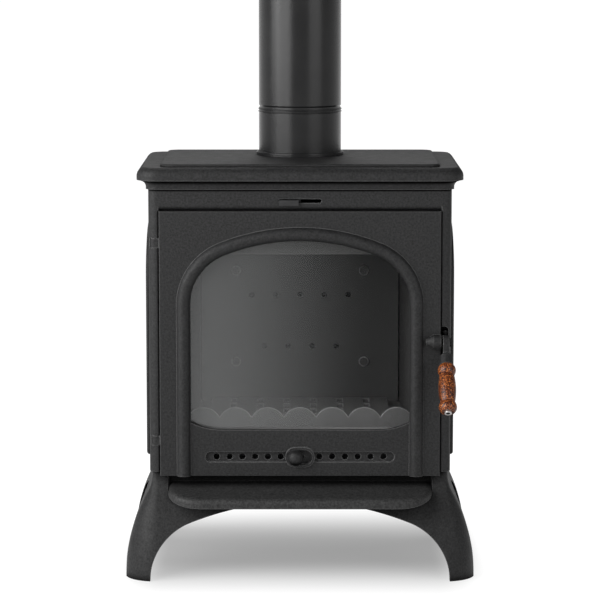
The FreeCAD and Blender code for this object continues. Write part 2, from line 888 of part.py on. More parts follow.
# Legs and ash lip

def leg_bolt_places():
    """Places of the four bolts that hold the legs."""
    across = half_width - d.leg_inset - d.leg_top_round - d.leg_flange_length / 2
    front = leg_corner_y(-1) + d.leg_flange_start + d.leg_flange_length / 2
    back = leg_corner_y(1) - d.leg_flange_start - d.leg_flange_length / 2
    return [(side * across, place) for side in (-1, 1) for place in (front, back)]


def lip_bolt_places():
    """Places of the two bolts that hold the ash lip."""
    place = frame_back + d.lip_bolt_back / 2
    return [(side * d.lip_bolt_spread, place) for side in (-1, 1)]


def leg_corner_y(end):
    """Y place of the corner axis of a leg, at the front (-1) or the back (1)."""
    if end < 0:
        return behind(d.leg_set_back + d.leg_top_round)
    return behind(body_depth - d.leg_inset - d.leg_top_round)


def leg_section(sketch, flip):
    """Half section of a flared leg: a hollow curve at the top running into a bulging foot."""
    rise = d.base_height - d.leg_plinth
    both = (d.leg_flare * d.leg_flare + rise * rise) / (2 * d.leg_flare)
    upper = both * FLARE_TOP_SHARE
    lower = both - upper
    foot = d.leg_top_round + d.leg_flare
    upper_centre = d.leg_top_round + upper
    lower_centre = foot - lower
    meet_r = upper_centre + (lower_centre - upper_centre) * FLARE_TOP_SHARE
    meet_z = rise - rise * FLARE_TOP_SHARE
    inner_share = (lower - d.leg_wall) / lower
    inner_r = lower_centre + (meet_r - lower_centre) * inner_share
    inner_z = meet_z * inner_share
    draw(sketch, [
        (0, d.base_height), (flip * d.leg_top_round, d.base_height),
        (flip * d.leg_top_round, rise, upper, flip),
        (flip * meet_r, meet_z, lower, -flip),
        (flip * foot, 0), (flip * (foot - d.leg_wall), 0, lower - d.leg_wall, flip),
        (flip * inner_r, inner_z), (0, inner_z),
    ])


def make_leg(name, side, end):
    """One flared corner leg with its two wings, arched below, and a bolting flange."""
    body = new_body(name)
    corner_x = side * (half_width - d.leg_inset - d.leg_top_round)
    corner_y = leg_corner_y(end)
    middle_y = (leg_corner_y(-1) + leg_corner_y(1)) / 2
    foot = d.leg_top_round + d.leg_flare

    bell = new_sketch(body, "YZ", off=corner_x, across=corner_y)
    leg_section(bell, end)
    revolve(body, bell, angle=90.0, backward=side * end > 0)
    front_wing = new_sketch(body, "YZ", off=corner_x, across=corner_y)
    leg_section(front_wing, end)
    pad(body, front_wing, half_width - d.leg_inset - d.leg_top_round, toward=-side)
    side_wing = new_sketch(body, "XZ", off=corner_y, across=corner_x)
    leg_section(side_wing, side)
    pad(body, side_wing, (leg_corner_y(1) - leg_corner_y(-1)) / 2, toward=-end)
    flange = new_sketch(body, "XY", off=d.base_height)
    inner_x = corner_x - side * d.leg_flange_length
    first_y = corner_y - end * d.leg_flange_start
    last_y = first_y - end * d.leg_flange_length
    lap_x = corner_x + side * d.leg_top_round / 2
    draw(flange, [(lap_x, first_y), (inner_x, first_y), (inner_x, last_y), (lap_x, last_y)])
    pad(body, flange, d.leg_flange_thickness, toward=-1)

    front_arch = new_sketch(body, "XZ")
    half_span = half_width - d.leg_inset + d.leg_flare - d.foot_width
    draw(front_arch, [(-half_span, -d.cut_overrun)]
         + arch_corners(half_span, 0, d.leg_arch_height, d.leg_arch_corner)
         + [(half_span, -d.cut_overrun)])
    pocket(body, front_arch)
    side_arch = new_sketch(body, "YZ", across=middle_y)
    half_run = (leg_corner_y(1) - leg_corner_y(-1)) / 2 + foot - d.foot_width
    draw(side_arch, [(-half_run, -d.cut_overrun)]
         + arch_corners(half_run, 0, d.leg_arch_height, d.leg_arch_corner)
         + [(half_run, -d.cut_overrun)])
    pocket(body, side_arch)
    bolt_hole = new_sketch(body, "XY", off=d.base_height)
    draw_circle(bolt_hole, (lap_x + inner_x) / 2 - side * d.leg_top_round / 4,
                (first_y + last_y) / 2, d.leg_bolt_radius + d.bolt_play)
    pocket(body, bolt_hole, d.leg_flange_thickness + d.cut_overrun, toward=-1)
    if end < 0:
        notch = new_sketch(body, "XY", off=d.base_height)
        half_notch = d.lip_width / 2 + d.lip_notch_play
        draw_box(notch, -half_notch, half_notch, behind(-d.lip_reach),
                 corner_y + d.leg_flange_start - d.cut_overrun)
        pocket(body, notch, d.base_height - d.lip_seat, toward=-1)


def make_ash_lip():
    """Sloping hearth lip under the door, with a root bar bolted to the base."""
    body = new_body("ash_lip")
    half = d.lip_width / 2
    root_front = behind(d.lip_root_front)
    root_back = behind(d.lip_root_front + d.lip_root_depth)
    section = new_sketch(body, "YZ", off=-half)
    draw(section, [
        (behind(-d.lip_reach), d.lip_front_low), (behind(d.lip_seat_front), d.lip_seat),
        (root_back, d.lip_seat), (root_back, d.base_height), (root_front, d.base_height),
        (root_front, d.lip_back_high), (behind(-d.lip_reach), d.lip_front_high),
    ])
    pad(body, section, d.lip_width)
    corners = new_sketch(body, "XY", off=d.base_height)
    front = behind(-d.lip_reach)
    reach = d.lip_corner
    over = d.cut_overrun
    for side in (-1, 1):
        draw(corners, [
            (side * (half - reach), front, reach, side), (side * half, front + reach),
            (side * (half + over), front + reach), (side * (half + over), front - over),
            (side * (half - reach), front - over),
        ])
    pocket(body, corners)
    slope = (d.lip_back_high - d.lip_front_high) / (root_front - front)

    def on_upper_rim(line):
        """True for the edges round the front of the sloping top."""
        middle = line.valueAt((line.FirstParameter + line.LastParameter) / 2)
        height = d.lip_front_high + slope * (middle.y - front)
        return near(middle.z, height) and span(line).YMin < root_front.value - over.value

    round_edges(body, d.lip_edge_round, on_upper_rim)
    holes = new_sketch(body, "XY", off=d.base_height)
    for across, place in lip_bolt_places():
        draw_circle(holes, across, place, d.lip_bolt_radius + d.bolt_play)
    pocket(body, holes)


def make_bolts(name, places, head_low, head_height, head_radius, shank_radius, shank_top):
    """Bolts with their heads below, standing upright."""
    body = new_body(name)
    heads = new_sketch(body, "XY", off=head_low)
    for across, place in places:
        draw_circle(heads, across, place, head_radius)
    pad(body, heads, head_height)
    shanks = new_sketch(body, "XY", off=head_low)
    for across, place in places:
        draw_circle(shanks, across, place, shank_radius)
    pad(body, shanks, shank_top - head_low)


def make_tie_rods():
    """Four upright rods that clamp the top to the base, with their nuts below."""
    make_bolts("tie_rods", rod_places, d.base_height - d.rod_nut_height, d.rod_nut_height,
               d.rod_nut_radius, d.rod_radius, cornice_top + d.rod_top_entry - d.rod_play)


# Door

def make_door():
    """Door casting: plate, roll moulding, window, air holes, knuckles and latch boss."""
    body = new_body("door")
    plate = new_sketch(body, "XZ", off=door_front)
    draw_box(plate, -door_half, door_half, door_bottom, door_top)
    pad(body, plate, d.door_thickness)
    round_edges(body, d.door_edge_round,
                lambda line: near(span(line).YMin, door_front) and near(span(line).YMax, door_front))

    centre = d.roll_radius - d.roll_trim
    roll_y = door_front + d.roll_sunk
    path = new_sketch(body, "XZ", off=roll_y)
    spring = window_top - d.arch_rise
    half = window_half + centre
    draw(path, [(-half, door_bottom)]
         + arch_corners(half, spring, d.arch_rise + centre, d.arch_corner + centre)
         + [(half, door_bottom)], closed=False)
    ring = new_sketch(body, "XY", off=door_bottom)
    draw_circle(ring, -half, roll_y, d.roll_radius)
    sweep(body, ring, path)

    boss = new_sketch(body, "XY", off=latch_height, up=latch_y)
    start = boss_end - d.boss_length
    draw(boss, [
        (start, 0), (boss_end, 0), (boss_end, d.boss_radius),
        (start + d.boss_taper, d.boss_radius), (start, d.boss_tip_radius),
    ])
    revolve(body, boss, axis="H_Axis")
    for height in hinge_heights:
        knuckle = new_sketch(body, "XY", off=height - d.knuckle_height / 2, across=hinge_x, up=hinge_y)
        radius = d.knuckle_radius
        inner = d.hinge_offset + d.door_edge_round
        draw(knuckle, [
            (0, -radius), (inner, -radius), (inner, radius), (0, radius, radius, 1),
            (-radius, 0, radius, 1),
        ])
        pad(body, knuckle, d.knuckle_height)

    rim = new_sketch(body, "XZ", off=door_front)
    draw_slot(rim, -d.oval_length / 2, d.oval_length / 2, air_row, d.oval_height / 2)
    pad(body, rim, d.oval_rim_rise, toward=-1)
    channel = new_sketch(body, "XZ", off=door_front)
    draw_slot(channel, -d.air_channel_length / 2, d.air_channel_length / 2,
              air_row, d.air_channel_height / 2)
    pocket(body, channel, d.air_channel_depth)
    oval = new_sketch(body, "XZ", off=door_front - d.oval_rim_rise)
    draw_slot(oval, -d.oval_length / 2 + d.oval_rim, d.oval_length / 2 - d.oval_rim,
              air_row, d.oval_height / 2 - d.oval_rim)
    pocket(body, oval, d.air_channel_depth + d.oval_rim_rise)
    holes = new_sketch(body, "XZ", off=door_front)
    for across in air_hole_places():
        if abs(across.value) > d.oval_length.value / 2:
            draw_circle(holes, across, air_row, d.air_hole_radius)
    slot_end = d.knob_stem_radius + d.stem_play
    draw_slot(holes, -d.knob_shift - slot_end, -d.knob_shift + d.air_travel + slot_end,
              air_row, slot_end)
    pocket(body, holes, d.door_thickness + d.cut_overrun)

    window = new_sketch(body, "XZ", off=door_front)
    draw(window, window_outline(0))
    pocket(body, window)
    recess = new_sketch(body, "XZ", off=door_back)
    draw(recess, window_outline(d.glass_lap + d.glass_clearance))
    pocket(body, recess, d.gasket_thickness + d.glass_thickness + d.glass_play, toward=-1)
    groove = new_sketch(body, "XZ", off=door_back)
    draw_rope(groove, d.rope_side_play)
    pocket(body, groove, d.rope_groove, toward=-1)
    screws = new_sketch(body, "XZ", off=door_back)
    for across, height, up in clip_places():
        draw_circle(screws, across, height, d.clip_screw_radius + d.clip_screw_play)
    pocket(body, screws, d.clip_screw_depth, toward=-1)

    pin_bore = new_sketch(body, "YZ", off=boss_end)
    draw_circle(pin_bore, latch_y, latch_height, d.pivot_pin_radius)
    pocket(body, pin_bore, d.pivot_pin_seat, toward=-1)
    for height in hinge_heights:
        bore = new_sketch(body, "XY", off=height - d.knuckle_height / 2)
        draw_circle(bore, hinge_x, hinge_y, d.hinge_pin_radius + d.running_clearance)
        pocket(body, bore, d.knuckle_height)


def air_hole_places():
    """X places of the row of primary air holes."""
    return [
        d.air_hole_pitch * (index - (AIR_HOLE_COUNT - 1) / 2)
        for index in range(AIR_HOLE_COUNT)
    ]


def draw_rope(sketch, play):
    """Rounded ring of the door seal, widened on both sides by a play."""
    middle_x = (fire_half + rebate_half) / 2
    low = (fire_bottom + d.base_height) / 2
    high = (fire_top + rebate_top) / 2
    for half, corner in ((d.rope_width / 2 + play, d.rope_corner + d.rope_width / 2 + play),
                         (-d.rope_width / 2 - play, d.rope_corner - d.rope_width / 2 - play)):
        draw_box(sketch, -middle_x - half, middle_x + half, low - half, high + half, corner)


def clip_places():
    """Places of the screws of the glass clips, with the way from glass to screw: 1 up, -1 down."""
    reach = d.clip_length - d.clip_grip - d.clip_head_radius
    low = window_bottom - d.glass_lap - reach
    high = window_top + d.glass_lap + d.clip_screw_radius
    return [
        (side * d.clip_spread, height, up)
        for side in (-1, 1)
        for height, up in ((low, -1), (high, 1))
    ]


def make_door_glass():
    """Arched pane in the recess of the door."""
    body = new_body("door_glass")
    front = door_back - d.glass_play - d.glass_thickness
    outline = new_sketch(body, "XZ", off=front)
    draw(outline, window_outline(d.glass_lap))
    pad(body, outline, d.glass_thickness)


def make_glass_gasket():
    """Flat seal between the pane and the door."""
    body = new_body("glass_gasket")
    front = door_back - d.glass_play - d.glass_thickness - d.gasket_thickness
    outline = new_sketch(body, "XZ", off=front)
    draw(outline, window_outline(d.glass_lap))
    draw(outline, window_outline(d.gasket_inset))
    pad(body, outline, d.gasket_thickness)


def make_door_rope():
    """Rope seal pressed into the groove behind the door."""
    body = new_body("door_rope_seal")
    ring = new_sketch(body, "XZ", off=door_back - d.rope_groove)
    draw_rope(ring, 0)
    length = d.rope_groove + d.rebate_depth - (d.door_thickness - d.door_proud) - d.rope_play
    pad(body, ring, length)


def make_glass_clips():
    """Flat clips that hold the pane."""
    body = new_body("glass_clips")
    outline = new_sketch(body, "XZ", off=door_back)
    for across, height, up in clip_places():
        far = height + up * d.clip_head_radius
        near_end = far - up * d.clip_length
        low, high = (near_end, far) if up > 0 else (far, near_end)
        draw_box(outline, across - d.clip_width / 2, across + d.clip_width / 2, low, high)
    pad(body, outline, d.clip_thickness)
    holes = new_sketch(body, "XZ", off=door_back)
    for across, height, up in clip_places():
        draw_circle(holes, across, height, d.clip_screw_radius + d.clip_screw_play)
    pocket(body, holes)


def make_clip_screws():
    """Screws of the glass clips."""
    body = new_body("glass_clip_screws")
    heads = new_sketch(body, "XZ", off=door_back + d.clip_thickness)
    shanks = new_sketch(body, "XZ", off=door_back + d.clip_thickness)
    for across, height, up in clip_places():
        draw_circle(heads, across, height, d.clip_head_radius)
        draw_circle(shanks, across, height, d.clip_screw_radius)
    pad(body, heads, d.clip_head_height)
    pad(body, shanks, d.clip_thickness + d.clip_screw_depth - d.clip_screw_play, toward=-1)


def make_hinge_pins():
    """Two upright pins, seated in the column above and below each knuckle."""
    body = new_body("hinge_pins")
    length = d.knuckle_height + 2 * d.hinge_pin_seat
    for height in hinge_heights:
        pin = new_sketch(body, "XY", off=height - length / 2)
        draw_circle(pin, hinge_x, hinge_y, d.hinge_pin_radius)
        pad(body, pin, length)


def make_air_slide():
    """Perforated slide behind the primary air holes."""
    body = new_body("air_slide")
    front = door_back + d.slide_play
    half = d.air_hole_pitch * (AIR_HOLE_COUNT - 1) / 2 + d.air_hole_radius + d.slide_end_margin
    plate = new_sketch(body, "XZ", off=front)
    draw_box(plate, -half, half, air_row - d.slide_height / 2, air_row + d.slide_height / 2)
    pad(body, plate, d.slide_thickness)
    holes = new_sketch(body, "XZ", off=front)
    for across in air_hole_places():
        if abs(across.value) > d.oval_length.value / 2:
            draw_circle(holes, across, air_row, d.air_hole_radius)
    pocket(body, holes)


def make_air_knob():
    """Ball knob on its stem, standing on the slide."""
    body = new_body("air_knob")
    half = new_sketch(body, "XY", off=air_row, across=-d.knob_shift)
    seat = door_back + d.slide_play
    flat = door_front - d.knob_standoff
    depth = d.knob_radius + (d.knob_radius * d.knob_radius
                             - d.knob_flat_radius * d.knob_flat_radius) / (2 * d.knob_radius)
    front = flat - depth
    middle = front + d.knob_radius
    draw(half, [
        (0, front, d.knob_radius, 1), (d.knob_radius, middle, d.knob_radius, 1),
        (d.knob_flat_radius, flat), (d.knob_stem_radius, flat), (d.knob_stem_radius, seat), (0, seat),
    ])
    revolve(body, half)


def make_strap_guides(name, wall_y, row, height, thickness, foot, spread):
    """Pair of bridge straps that hold a slide against its wall."""
    body = new_body(name)
    low = row - height / 2 - d.slide_play
    high = row + height / 2 + d.slide_play
    inner = wall_y + thickness + 2 * d.slide_play
    outer = inner + d.strap_thickness
    for side in (-1, 1):
        section = new_sketch(body, "YZ", off=side * spread - d.strap_width / 2)
        draw(section, [
            (wall_y, low - foot), (outer, low - foot), (outer, high + foot), (wall_y, high + foot),
            (wall_y, high), (inner, high), (inner, low), (wall_y, low),
        ])
        pad(body, section, d.strap_width)


# Latch

def make_latch_lever():
    """Lift latch: eye, hook behind, arm, collar and the tang that carries the grip."""
    body = new_body("latch_lever")
    arm = new_sketch(body, "YZ", off=lever_left, across=latch_y, up=latch_height, tilt=-d.grip_tilt)
    radius = d.eye_radius
    wide = d.arm_half_width
    draw(arm, [
        (-radius, 0), (-wide, -d.collar_start - d.collar_radius / 2),
        (wide, -d.collar_start - d.collar_radius / 2), (radius, 0, radius, 1), (0, radius, radius, 1),
    ])
    pad(body, arm, d.lever_width)
    collar = new_sketch(body, "YZ", off=grip_axis_x, across=latch_y, up=latch_height, tilt=-d.grip_tilt)
    end = d.grip_start + d.grip_length + d.end_nut_length / 2
    draw(collar, [
        (0, -d.collar_start), (0, -end), (d.tang_radius, -end), (d.tang_radius, -d.grip_start),
        (d.collar_radius, -d.grip_start), (d.collar_radius, -d.collar_start - d.collar_radius / 2),
        (wide, -d.collar_start),
    ])
    revolve(body, collar)
    hook = new_sketch(body, "YZ", off=lever_left, across=latch_y, up=latch_height)
    draw(hook, [
        (0, -d.hook_low), (d.hook_reach, -d.hook_low), (d.hook_reach, d.hook_rise),
        (d.hook_reach - d.hook_thickness, d.hook_rise),
        (d.hook_reach - d.hook_thickness, d.hook_arm_top), (0, d.hook_arm_top),
    ])
    pad(body, hook, d.hook_width)
    bore = new_sketch(body, "YZ", off=lever_left, across=latch_y, up=latch_height)
    draw_circle(bore, 0, 0, d.pivot_pin_radius + d.running_clearance)
    pocket(body, bore)


def make_handle_grip():
    """Turned wooden grip: bead, neck, barrel, neck and bead."""
    body = new_body("handle_grip")
    half = new_sketch(body, "YZ", off=grip_axis_x, across=latch_y, up=latch_height, tilt=-d.grip_tilt)
    bore = d.tang_radius + d.tang_play
    neck = d.grip_neck_radius
    bead = d.grip_bead_radius
    barrel = d.grip_barrel_radius
    small = d.grip_end_radius
    length = d.grip_length
    bead_length = length * BEAD_SHARE
    top = -d.grip_start
    bottom = top - length

    def crest_arc(radius_start, radius_end, run):
        """Radius of the arc that leaves a crest level and falls to the next neck."""
        rise = radius_end - radius_start
        return (run * run + rise * rise) / (2 * rise)

    half_bead = bead_length / 2
    half_barrel = (length - 2 * bead_length) / 2
    draw(half, [
        (bore, top), (bore, bottom), (small, bottom, crest_arc(small, bead, half_bead), 1),
        (bead, bottom + half_bead, crest_arc(neck, bead, half_bead), 1),
        (neck, bottom + bead_length, crest_arc(neck, barrel, half_barrel), 1),
        (barrel, bottom + bead_length + half_barrel, crest_arc(neck, barrel, half_barrel), 1),
        (neck, top - bead_length, crest_arc(neck, bead, half_bead), 1),
        (bead, top - half_bead, crest_arc(small, bead, half_bead), 1),
        (small, top),
    ])
    revolve(body, half)


def make_end_nut():
    """Round nut that closes the end of the grip."""
    body = new_body("grip_end_nut")
    half = new_sketch(body, "YZ", off=grip_axis_x, across=latch_y, up=latch_height, tilt=-d.grip_tilt)
    start = -d.grip_start - d.grip_length
    bore = d.tang_radius + d.tang_play
    end = start - d.end_nut_length
    draw(half, [
        (bore, start), (bore, end), (d.end_nut_radius, end), (d.end_nut_radius, start),
    ])
    revolve(body, half)


def make_pivot_pin():
    """Headed pin of the latch, pressed into the boss of the door."""
    body = new_body("latch_pivot_pin")
    shank = new_sketch(body, "YZ", off=boss_end - d.pivot_pin_seat)
    draw_circle(shank, latch_y, latch_height, d.pivot_pin_radius)
    head_x = lever_left + d.lever_width + d.lever_end_play
    pad(body, shank, head_x - (boss_end - d.pivot_pin_seat))
    head = new_sketch(body, "YZ", off=head_x)
    draw_circle(head, latch_y, latch_height, d.pivot_head_radius)
    pad(body, head, d.pivot_head_height)


def make_latch_catch():
    """Catch block on the outer wall of the latch pocket."""
    body = new_body("latch_catch")
    block = new_sketch(body, "YZ", off=half_width - d.latch_pocket_wall)
    low = latch_height + d.catch_low
    pocket_width = d.column_width + d.column_edge_round - d.latch_pocket_wall
    high = latch_height + d.latch_pocket_up - pocket_width / 2
    draw_box(block, behind(d.catch_front), behind(d.catch_front + d.catch_thickness), low, high)
    pad(body, block, d.catch_width, toward=-1)


# Airwash control

def make_airwash_slide():
    """Slide behind the fascia with a tab bent down in front of it."""
    body = new_body("airwash_slide")
    wall_y = behind(d.airwash_wall)
    plate = new_sketch(body, "XZ", off=wall_y + d.slide_play)
    tab_left = -airwash_slot_length / 2 + d.tab_end_play
    tab_right = tab_left + d.tab_length
    middle = (tab_left + tab_right) / 2
    half = d.airwash_plate_length / 2
    draw_box(plate, middle - half, middle + half,
             airwash_row - d.airwash_plate_height / 2, airwash_row + d.airwash_plate_height / 2)
    pad(body, plate, d.airwash_plate_thickness)
    neck = new_sketch(body, "YZ", off=tab_left)
    front = behind(-d.tab_out)
    low = airwash_row - d.tab_thickness / 2
    high = airwash_row + d.tab_thickness / 2
    draw(neck, [
        (wall_y + d.slide_play, low), (wall_y + d.slide_play, high), (front, high),
        (front, high - d.tab_drop), (front + d.tab_thickness, high - d.tab_drop),
        (front + d.tab_thickness, low),
    ])
    pad(body, neck, d.tab_length)
    opening = new_sketch(body, "XZ", off=wall_y)
    draw_slot(opening, tab_right + d.tab_thickness, middle + half - d.tab_thickness * 2,
              airwash_row, d.airwash_slot_height / 2)
    pocket(body, opening)


# Firebox

def make_grate_frame():
    """Shelf between the walls that carries the grate and the liners."""
    body = new_body("grate_frame")
    outline = new_sketch(body, "XY", off=shelf_bottom)
    inner = side_inner - d.shelf_play
    draw_box(outline, -inner, inner, frame_back + d.shelf_play, back_inner - d.shelf_play)
    opening_half = grate_half - d.grate_seat
    draw_box(outline, -opening_half, opening_half,
             grate_front + d.grate_seat, grate_back - d.grate_seat)
    for across, place in rod_places:
        draw_circle(outline, across, place, d.rod_radius + d.rod_play)
    pad(body, outline, d.shelf_thickness)


def make_grate():
    """Slotted grate lying on its frame."""
    body = new_body("grate")
    outline = new_sketch(body, "XY", off=d.shelf_top)
    draw_box(outline, -grate_half, grate_half, grate_front, grate_back, d.grate_corner)
    row_pitch = (grate_back - grate_front - 2 * d.grate_edge + d.grate_bar) / GRATE_ROWS
    slot_length = row_pitch - d.grate_bar
    for row in range(GRATE_ROWS):
        place = (grate_front + grate_back) / 2 + row_pitch * (row - (GRATE_ROWS - 1) / 2)
        for column in range(GRATE_SLOTS_ACROSS):
            across = d.grate_slot_pitch * (column - (GRATE_SLOTS_ACROSS - 1) / 2)
            draw_box(outline, across - d.grate_slot_width / 2, across + d.grate_slot_width / 2,
                     place - slot_length / 2, place + slot_length / 2)
    pad(body, outline, d.grate_thickness)


def fireback_bolt_places():
    """X and Z places of the four fireback bolts."""
    return [
        (side * d.fireback_bolt_spread, height)
        for side in (-1, 1)
        for height in (d.shelf_top + d.fireback_bolt_low, liner_top - d.fireback_bolt_drop)
    ]


def make_fireback():
    """Rear plate of the firebox, hollow behind, with two rows of secondary air holes."""
    body = new_body("fireback")
    front = fireback_front
    half = d.fireback_width / 2
    outline = new_sketch(body, "XZ", off=front)
    draw_box(outline, -half, half, d.shelf_top, liner_top)
    pad(body, outline, d.fireback_depth)
    hollow = new_sketch(body, "XZ", off=back_inner)
    rim = d.fireback_rim
    draw_box(hollow, -half + rim, half - rim, d.shelf_top + rim, liner_top - rim)
    pocket(body, hollow, d.fireback_depth - d.fireback_wall, toward=-1)
    bosses = new_sketch(body, "XZ", off=back_inner)
    for across, height in fireback_bolt_places():
        draw_circle(bosses, across, height, d.fireback_boss_radius)
    pad(body, bosses, d.fireback_depth - d.fireback_wall / 2, toward=-1)
    holes = new_sketch(body, "XZ", off=front)
    upper_row = liner_top - d.fireback_upper_drop
    lower_row = d.shelf_top + d.fireback_lower_row
    for height, count in ((upper_row, FIREBACK_UPPER_HOLES), (lower_row, FIREBACK_LOWER_HOLES)):
        for index in range(count):
            across = d.fireback_hole_pitch * (index - (count - 1) / 2)
            draw_circle(holes, across, height, d.fireback_hole_radius)
    for across, height in fireback_bolt_places():
        draw_circle(holes, across, height, d.fireback_bolt_radius + d.bolt_play)
    pocket(body, holes)


def make_fireback_bolts():
    """Four bolts through the fireback into the rear wall."""
    body = new_body("fireback_bolts")
    front = fireback_front
    heads = new_sketch(body, "XZ", off=front)
    shanks = new_sketch(body, "XZ", off=front)
    for across, height in fireback_bolt_places():
        draw_circle(heads, across, height, d.fireback_bolt_head_radius)
        draw_circle(shanks, across, height, d.fireback_bolt_radius)
    pad(body, heads, d.fireback_bolt_head_height, toward=-1)
    pad(body, shanks, d.fireback_depth + d.back_thickness)


def make_liner(name, side):
    """Side liner of the firebox, splayed toward the door."""
    body = new_body(name)
    plan = new_sketch(body, "XY", off=d.shelf_top)
    front = behind(d.liner_front)
    back = fireback_front - d.shelf_play
    draw(plan, [
        (side * (liner_outer - d.liner_front_thickness), front), (side * liner_outer, front),
        (side * liner_outer, back), (side * liner_back_inner, back),
    ])
    pad(body, plan, d.liner_height)


def make_baffle():
    """Throat plate over the fire, lying on the liners, its front edge turned up."""
    body = new_body("baffle_plate")
    section = new_sketch(body, "YZ", off=-liner_outer)
    front = behind(d.baffle_front)
    back = back_inner - d.shelf_play
    thick = d.baffle_thickness
    draw(section, [
        (front, liner_top), (back, liner_top), (back, liner_top + thick),
        (front + thick, liner_top + thick), (front + thick, liner_top + thick + d.baffle_lip),
        (front, liner_top + thick + d.baffle_lip),
    ])
    pad(body, section, 2 * liner_outer)


def make_log_guard():
    """Scalloped bar that keeps logs from the glass."""
    body = new_body("log_guard")
    outline = new_sketch(body, "XZ", off=behind(d.guard_front))
    half = d.guard_pitch * GUARD_SCALLOPS / 2
    valley = d.shelf_top + d.guard_low
    rise = d.guard_high - d.guard_low
    radius = (d.guard_pitch * d.guard_pitch / 4 + rise * rise) / (2 * rise)
    corners = [(-half, d.shelf_top), (half, d.shelf_top)]
    for index in range(GUARD_SCALLOPS):
        right = half - d.guard_pitch * index
        corners.append((right, valley, radius, 1))
    corners.append((-half, valley))
    draw(outline, corners)
    pad(body, outline, d.guard_thickness)


def make_ash_pan():
    """Open sheet pan under the grate."""
    body = new_body("ash_pan")
    front = behind(d.pan_front)
    half = d.pan_width / 2
    outline = new_sketch(body, "XY", off=wall_base)
    draw_box(outline, -half, half, front, front + d.pan_depth, d.pan_corner)
    pad(body, outline, d.pan_height)
    hollow = new_sketch(body, "XY", off=wall_base + d.pan_wall)
    wall = d.pan_wall
    draw_box(hollow, -half + wall, half - wall, front + wall, front + d.pan_depth - wall,
             d.pan_corner - wall)
    pocket(body, hollow, d.pan_height)


def make_pan_handle():
    """Wire handle on the front of the ash pan."""
    body = new_body("ash_pan_handle")
    height = wall_base + d.pan_handle_rise
    front = behind(d.pan_front)
    reach = d.pan_handle_reach - d.pan_handle_radius
    half = d.pan_handle_width / 2
    corner = d.pan_handle_radius * 2
    path = new_sketch(body, "XY", off=height)
    draw(path, [
        (-half, front), (-half, front - reach + corner, corner, 1),
        (-half + corner, front - reach), (half - corner, front - reach, corner, 1),
        (half, front - reach + corner), (half, front),
    ], closed=False)
    wire = new_sketch(body, "XZ", off=front)
    draw_circle(wire, -half, height, d.pan_handle_radius)
    sweep(body, wire, path)


def build():
    """Make every sub-part of the stove."""
    make_base_plate()
    make_side_plate("side_plate_left", -1)
    make_side_plate("side_plate_right", 1)
    make_back_plate()
    make_front_frame()
    make_top_plate()
    make_flue_collar()
    make_flue_stub()
    make_flue_pipe()
    for end_name, end in (("front", -1), ("rear", 1)):
        for side_name, side in (("left", -1), ("right", 1)):
            make_leg("leg_%s_%s" % (end_name, side_name), side, end)
    make_ash_lip()
    make_bolts("leg_bolts", leg_bolt_places(),
               d.base_height - d.leg_flange_thickness - d.leg_bolt_head_height,
               d.leg_bolt_head_height, d.leg_bolt_head_radius, d.leg_bolt_radius, wall_base)
    make_bolts("lip_bolts", lip_bolt_places(), d.lip_seat - d.lip_bolt_head_height,
               d.lip_bolt_head_height, d.lip_bolt_head_radius, d.lip_bolt_radius, wall_base)
    make_tie_rods()
    make_door()
    make_door_glass()
    make_glass_gasket()
    make_door_rope()
    make_glass_clips()
    make_clip_screws()
    make_hinge_pins()
    make_air_slide()
    make_air_knob()
    make_strap_guides("air_slide_guides", door_back, air_row, d.slide_height,
                      d.slide_thickness, d.strap_foot, d.strap_spread)
    make_latch_lever()
    make_handle_grip()
    make_end_nut()
    make_pivot_pin()
    make_latch_catch()
    make_airwash_slide()
    make_strap_guides("airwash_guides", behind(d.airwash_wall), airwash_row,
                      d.airwash_plate_height, d.airwash_plate_thickness,
                      d.airwash_strap_foot, d.airwash_strap_spread)
    make_grate_frame()
    make_grate()
    make_fireback()
    make_fireback_bolts()
    make_liner("liner_left", -1)
    make_liner("liner_right", 1)
    make_baffle()
    make_log_guard()
    make_ash_pan()
    make_pan_handle()
    document.recompute()


def check_and_write():
    """Stop on any failed object, then write one file for each sub-part."""
    failed = [
        item.Label for item in document.Objects
        if "Invalid" in item.State or "Error" in item.State
    ]
    bodies = [item for item in document.Objects if item.TypeId == "PartDesign::Body"]
    failed += [body.Label for body in bodies if body.Shape.isNull() or not body.Shape.isValid()]
    if failed:
        raise RuntimeError("failed: " + ", ".join(failed))
    os.makedirs("parts", exist_ok=True)
    for body in bodies:
        body.Shape.exportStep("parts/%s.step" % body.Label)


build()
check_and_write()
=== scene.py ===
import math

import bpy
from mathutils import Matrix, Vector


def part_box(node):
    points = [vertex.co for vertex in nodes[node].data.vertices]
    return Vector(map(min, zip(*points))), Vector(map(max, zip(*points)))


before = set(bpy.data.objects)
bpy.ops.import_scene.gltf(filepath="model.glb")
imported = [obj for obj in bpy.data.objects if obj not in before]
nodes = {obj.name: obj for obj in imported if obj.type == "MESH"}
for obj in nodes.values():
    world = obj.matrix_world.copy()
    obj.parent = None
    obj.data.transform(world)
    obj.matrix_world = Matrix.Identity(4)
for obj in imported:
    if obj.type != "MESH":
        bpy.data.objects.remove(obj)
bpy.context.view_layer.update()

# Lengths are in metres and colours are linear, unless a name says otherwise.

# Camera place, from the photograph: distance in front of the door, height and dip.
CAMERA_DISTANCE = 4.072
CAMERA_HEIGHT = 0.9555
CAMERA_DIP_DEG = 7.528
CAMERA_LENS_MM = 167.5
SENSOR_MM = 36.0
LEVEL_DEG = 90.0
FACE_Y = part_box("front_frame")[0][1]

